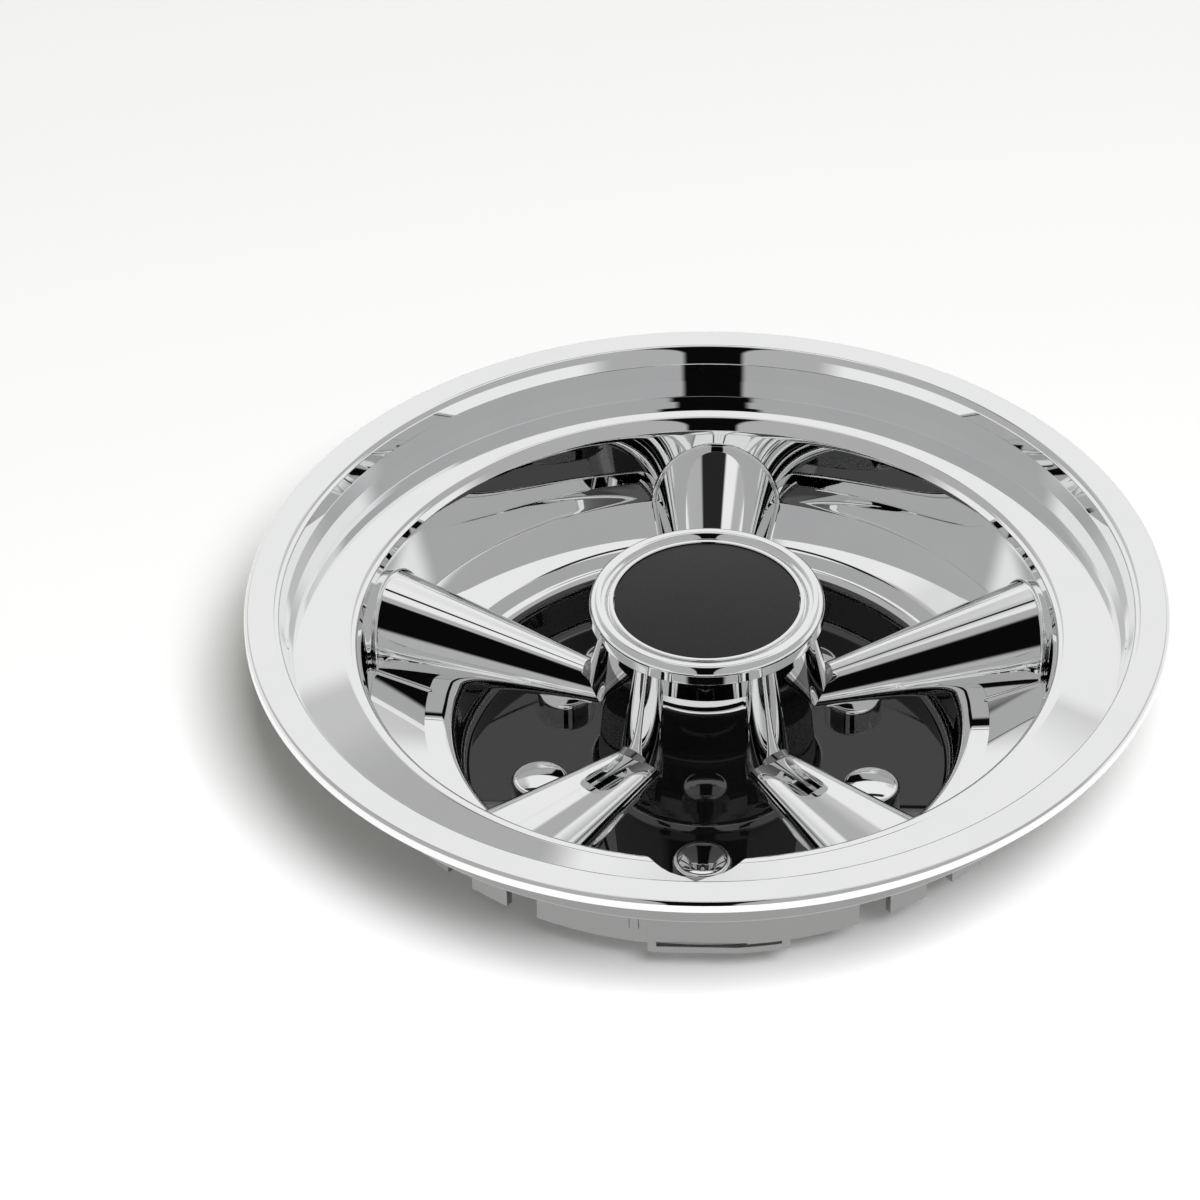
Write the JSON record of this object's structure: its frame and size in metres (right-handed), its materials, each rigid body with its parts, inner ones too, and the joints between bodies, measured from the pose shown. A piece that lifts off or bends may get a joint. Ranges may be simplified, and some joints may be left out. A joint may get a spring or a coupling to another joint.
{
  "type": "wheel cover",
  "caption": "Round plated wheel cover with a wide stepped lip, tapered half-round spokes over a deep dish, moulded nut heads and a plain domed centre cap.",
  "frame": {"origin": "on the wheel axis, at the flat back of the well floor that the cover lies on", "axes": "+Z along the wheel axis, out of the show face; -Y towards the valve notch"},
  "size_m": [0.254, 0.254, 0.0605],
  "materials": {
    "plated_shell": "mirror plating on plastic",
    "plated_bezel": "mirror plating on plastic",
    "black_disc": "satin black"
  },
  "bodies": {
    "root": {"cover_shell": "plated_shell", "cap_bezel": "plated_bezel", "emblem_disc": "black_disc"}
  },
  "joints": []
}
